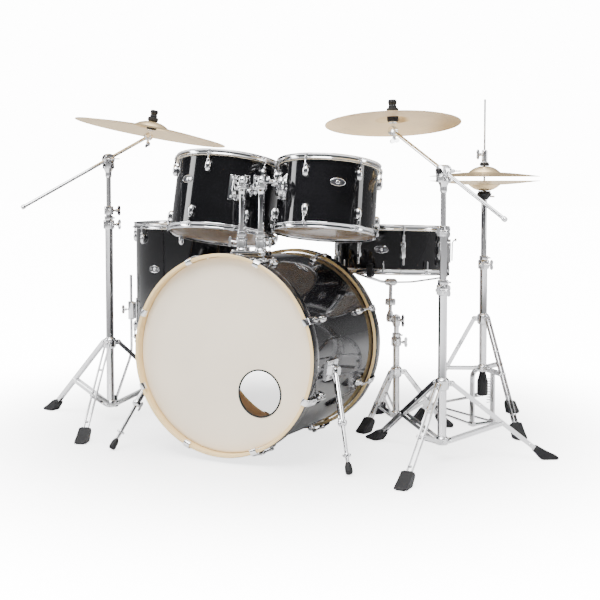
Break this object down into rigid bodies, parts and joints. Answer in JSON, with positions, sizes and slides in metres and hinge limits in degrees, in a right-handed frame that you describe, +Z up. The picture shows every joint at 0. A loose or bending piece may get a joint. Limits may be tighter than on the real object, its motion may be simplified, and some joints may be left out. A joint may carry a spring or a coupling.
{
  "type": "acoustic drum kit",
  "caption": "Acoustic drum kit with a bass drum, rack toms, a floor tom, a snare drum, hi-hats and boom-mounted cymbals on folding chrome stands.",
  "frame": {"origin": "on the floor, under the middle of the kit's box", "axes": "+Z up; the bass drum's front faces -Y, +X is to the right of someone who faces the front"},
  "size_m": [1.7852, 1.0734, 1.069],
  "materials": {
    "black_wrap": "high gloss black wrap over a wood shell",
    "maple_hoop": "clear lacquered maple",
    "coated_head": "matte coated film",
    "cymbal_bronze": "lathed bronze",
    "chrome": "polished chrome"
  },
  "bodies": {
    "kit": {"bass_shell": "black_wrap", "bass_front_hoop": "maple_hoop", "bass_front_head": "coated_head", "bass_rear_hoop": "maple_hoop", "tom_holder": "chrome", "floor_tom_shell": "black_wrap", "floor_tom_batter_head": "coated_head", "floor_tom_batter_hoop": "chrome", "floor_tom_bottom_hoop": "chrome", "snare_stand_base": "chrome", "ride_stand_base": "chrome", "crash_stand_base": "chrome", "hihat_base": "chrome"},
    "left_spur": {"left_spur": "chrome"},
    "right_spur": {"right_spur": "chrome"},
    "left_tom_post": {"left_tom_post": "chrome"},
    "left_tom": {"left_tom_arm": "chrome", "left_tom_shell": "black_wrap", "left_tom_batter_head": "coated_head", "left_tom_batter_hoop": "chrome", "left_tom_bottom_hoop": "chrome"},
    "right_tom_post": {"right_tom_post": "chrome"},
    "right_tom": {"right_tom_arm": "chrome", "right_tom_shell": "black_wrap", "right_tom_batter_head": "coated_head", "right_tom_batter_hoop": "chrome", "right_tom_bottom_hoop": "chrome"},
    "floor_tom_leg_1": {"floor_tom_leg_1": "chrome"},
    "floor_tom_leg_2": {"floor_tom_leg_2": "chrome"},
    "floor_tom_leg_3": {"floor_tom_leg_3": "chrome"},
    "snare_stand_tube": {"snare_stand_tube": "chrome"},
    "snare_drum": {"snare_basket": "chrome", "snare_shell": "black_wrap", "snare_batter_head": "coated_head", "snare_batter_hoop": "chrome", "snare_bottom_hoop": "chrome"},
    "snare_strainer_lever": {"snare_strainer_lever": "chrome"},
    "ride_stand_tube": {"ride_stand_tube": "chrome"},
    "ride_boom": {"ride_stand_boom": "chrome"},
    "ride_cymbal": {"ride_cymbal": "cymbal_bronze"},
    "crash_stand_tube": {"crash_stand_tube": "chrome"},
    "crash_boom": {"crash_stand_boom": "chrome"},
    "crash_cymbal": {"crash_cymbal": "cymbal_bronze"},
    "hihat_tube": {"hihat_tube": "chrome", "hihat_bottom_cymbal": "cymbal_bronze"},
    "hihat_pull_rod": {"hihat_pull_rod": "chrome", "hihat_top_cymbal": "cymbal_bronze"},
    "hihat_footboard": {"hihat_footboard": "chrome"},
    "snare_stand_leg_1": {"snare_stand_leg_1": "chrome"},
    "snare_stand_leg_2": {"snare_stand_leg_2": "chrome"},
    "snare_stand_leg_3": {"snare_stand_leg_3": "chrome"},
    "ride_stand_leg_1": {"ride_stand_leg_1": "chrome"},
    "ride_stand_leg_2": {"ride_stand_leg_2": "chrome"},
    "ride_stand_leg_3": {"ride_stand_leg_3": "chrome"},
    "crash_stand_leg_1": {"crash_stand_leg_1": "chrome"},
    "crash_stand_leg_2": {"crash_stand_leg_2": "chrome"},
    "crash_stand_leg_3": {"crash_stand_leg_3": "chrome"},
    "hihat_stand_leg_1": {"hihat_stand_leg_1": "chrome"},
    "hihat_stand_leg_2": {"hihat_stand_leg_2": "chrome"},
    "hihat_stand_leg_3": {"hihat_stand_leg_3": "chrome"}
  },
  "joints": [
    {"name": "left_spur_fold", "type": "hinge", "parent": "kit", "child": "left_spur", "pos_m": [-0.26907, -0.33155, 0.262], "axis": [1, 0, 0], "range_deg": [0, 100]},
    {"name": "right_spur_fold", "type": "hinge", "parent": "kit", "child": "right_spur", "pos_m": [0.31217, -0.33155, 0.262], "axis": [1, 0, 0], "range_deg": [0, 72]},
    {"name": "left_tom_height", "type": "slide", "parent": "kit", "child": "left_tom_post", "axis": [0, 0.0291, 0.9996], "range_m": [-0.008, 0.05]},
    {"name": "left_tom_tilt", "type": "hinge", "parent": "left_tom_post", "child": "left_tom", "pos_m": [-0.01045, -0.28952, 0.80618], "axis": [1, 0, 0], "range_deg": [-1.5, 12]},
    {"name": "right_tom_height", "type": "slide", "parent": "kit", "child": "right_tom_post", "axis": [0, 0.0291, 0.9996], "range_m": [-0.008, 0.05]},
    {"name": "right_tom_tilt", "type": "hinge", "parent": "right_tom_post", "child": "right_tom", "pos_m": [0.05355, -0.28952, 0.80618], "axis": [1, 0, 0], "range_deg": [-1.5, 7]},
    {"name": "floor_tom_leg_1_slide", "type": "slide", "parent": "kit", "child": "floor_tom_leg_1", "axis": [0, 0, 1], "range_m": [-0.1, 0.04]},
    {"name": "floor_tom_leg_2_slide", "type": "slide", "parent": "kit", "child": "floor_tom_leg_2", "axis": [0, 0, 1], "range_m": [-0.1, 0.04]},
    {"name": "floor_tom_leg_3_slide", "type": "slide", "parent": "kit", "child": "floor_tom_leg_3", "axis": [0, 0, 1], "range_m": [-0.1, 0.04]},
    {"name": "snare_height", "type": "slide", "parent": "kit", "child": "snare_stand_tube", "axis": [0, 0, 1], "range_m": [-0.02, 0.03]},
    {"name": "snare_tilt", "type": "hinge", "parent": "snare_stand_tube", "child": "snare_drum", "pos_m": [0.27605, 0.20485, 0.348], "axis": [1, 0, 0], "range_deg": [-15, 1.5]},
    {"name": "snare_strainer_release", "type": "hinge", "parent": "snare_drum", "child": "snare_strainer_lever", "pos_m": [0.46715, 0.26977, 0.53986], "axis": [-0.2756, 0.9599, -0.0503], "range_deg": [0, 80]},
    {"name": "ride_stand_height", "type": "slide", "parent": "kit", "child": "ride_stand_tube", "axis": [0, 0, 1], "range_m": [-0.018, 0.15]},
    {"name": "ride_boom_tilt", "type": "hinge", "parent": "ride_stand_tube", "child": "ride_boom", "pos_m": [-0.57045, -0.18655, 0.876], "axis": [0.8281, -0.5606, 0], "range_deg": [-8, 24]},
    {"name": "ride_cymbal_spin", "type": "hinge", "parent": "ride_boom", "child": "ride_cymbal", "pos_m": [-0.47737, -0.06396, 0.99816], "axis": [0.138, 0.121, 0.983], "continuous": true},
    {"name": "crash_stand_height", "type": "slide", "parent": "kit", "child": "crash_stand_tube", "axis": [0, 0, 1], "range_m": [-0.06, 0.15]},
    {"name": "crash_boom_tilt", "type": "hinge", "parent": "crash_stand_tube", "child": "crash_boom", "pos_m": [0.58755, -0.19655, 0.832], "axis": [0.4587, 0.8886, 0], "range_deg": [-8, 24]},
    {"name": "crash_cymbal_spin", "type": "hinge", "parent": "crash_boom", "child": "crash_cymbal", "pos_m": [0.39364, -0.09235, 1.00264], "axis": [-0.073, 0.12, 0.9901], "continuous": true},
    {"name": "hihat_height", "type": "slide", "parent": "kit", "child": "hihat_tube", "axis": [0, 0, 1], "range_m": [-0.01, 0.1]},
    {"name": "hihat_footboard_press", "type": "hinge", "parent": "kit", "child": "hihat_footboard", "pos_m": [0.33879, 0.46741, 0.016], "axis": [0.5906, 0.807, 0], "range_deg": [0, 2.4]},
    {"name": "hihat_pull", "type": "slide", "parent": "hihat_tube", "child": "hihat_pull_rod", "axis": [0, 0, -1], "range_m": [0, 0.0125], "stiffness_N_per_m": 1200, "springref_m": -0.04},
    {"name": "snare_stand_leg_1_fold", "type": "hinge", "parent": "kit", "child": "snare_stand_leg_1", "pos_m": [0.33434, 0.19122, 0.176], "axis": [-0.2198, 0.9755, 0], "range_deg": [0, 33.3]},
    {"name": "snare_stand_leg_2_fold", "type": "hinge", "parent": "kit", "child": "snare_stand_leg_2", "pos_m": [0.28638, 0.20616, 0.176], "axis": [-0.7349, -0.6782, 0], "range_deg": [0, 33.3]},
    {"name": "snare_stand_leg_3_fold", "type": "hinge", "parent": "kit", "child": "snare_stand_leg_3", "pos_m": [0.29743, 0.15716, 0.176], "axis": [0.9548, -0.2974, 0], "range_deg": [0, 33.3]},
    {"name": "ride_stand_leg_1_fold", "type": "hinge", "parent": "kit", "child": "ride_stand_leg_1", "pos_m": [-0.59888, -0.18082, 0.266], "axis": [-0.1977, -0.9803, 0], "range_deg": [0, 39.1]},
    {"name": "ride_stand_leg_2_fold", "type": "hinge", "parent": "kit", "child": "ride_stand_leg_2", "pos_m": [-0.5612, -0.21404, 0.266], "axis": [0.9478, 0.319, 0], "range_deg": [0, 39.1]},
    {"name": "ride_stand_leg_3_fold", "type": "hinge", "parent": "kit", "child": "ride_stand_leg_3", "pos_m": [-0.55127, -0.1648, 0.266], "axis": [-0.7501, 0.6613, 0], "range_deg": [0, 39.1]},
    {"name": "crash_stand_leg_1_fold", "type": "hinge", "parent": "kit", "child": "crash_stand_leg_1", "pos_m": [0.61281, -0.18232, 0.224], "axis": [-0.4909, 0.8712, 0], "range_deg": [0, 45.2]},
    {"name": "crash_stand_leg_2_fold", "type": "hinge", "parent": "kit", "child": "crash_stand_leg_2", "pos_m": [0.56259, -0.18179, 0.224], "axis": [-0.509, -0.8607, 0], "range_deg": [0, 45.2]},
    {"name": "crash_stand_leg_3_fold", "type": "hinge", "parent": "kit", "child": "crash_stand_leg_3", "pos_m": [0.58725, -0.22555, 0.224], "axis": [0.9999, -0.0105, 0], "range_deg": [0, 45.2]},
    {"name": "hihat_stand_leg_1_fold", "type": "hinge", "parent": "kit", "child": "hihat_stand_leg_1", "pos_m": [0.57183, 0.32976, 0.352], "axis": [-0.9763, 0.2164, 0], "range_deg": [0, 17.6]},
    {"name": "hihat_stand_leg_2_fold", "type": "hinge", "parent": "kit", "child": "hihat_stand_leg_2", "pos_m": [0.53789, 0.29273, 0.352], "axis": [0.3007, -0.9537, 0], "range_deg": [0, 17.6]},
    {"name": "hihat_stand_leg_3_fold", "type": "hinge", "parent": "kit", "child": "hihat_stand_leg_3", "pos_m": [0.58693, 0.28185, 0.352], "axis": [0.6756, 0.7373, 0], "range_deg": [0, 17.6]}
  ],
  "couplings": [
    {"joint": "hihat_pull", "follows": "hihat_footboard_press", "m_per_rad": 0.28},
    {"joint": "snare_stand_leg_2_fold", "follows": "snare_stand_leg_1_fold", "ratio": 1},
    {"joint": "snare_stand_leg_3_fold", "follows": "snare_stand_leg_1_fold", "ratio": 1},
    {"joint": "ride_stand_leg_2_fold", "follows": "ride_stand_leg_1_fold", "ratio": 1},
    {"joint": "ride_stand_leg_3_fold", "follows": "ride_stand_leg_1_fold", "ratio": 1},
    {"joint": "crash_stand_leg_2_fold", "follows": "crash_stand_leg_1_fold", "ratio": 1},
    {"joint": "crash_stand_leg_3_fold", "follows": "crash_stand_leg_1_fold", "ratio": 1},
    {"joint": "hihat_stand_leg_2_fold", "follows": "hihat_stand_leg_1_fold", "ratio": 1},
    {"joint": "hihat_stand_leg_3_fold", "follows": "hihat_stand_leg_1_fold", "ratio": 1}
  ]
}
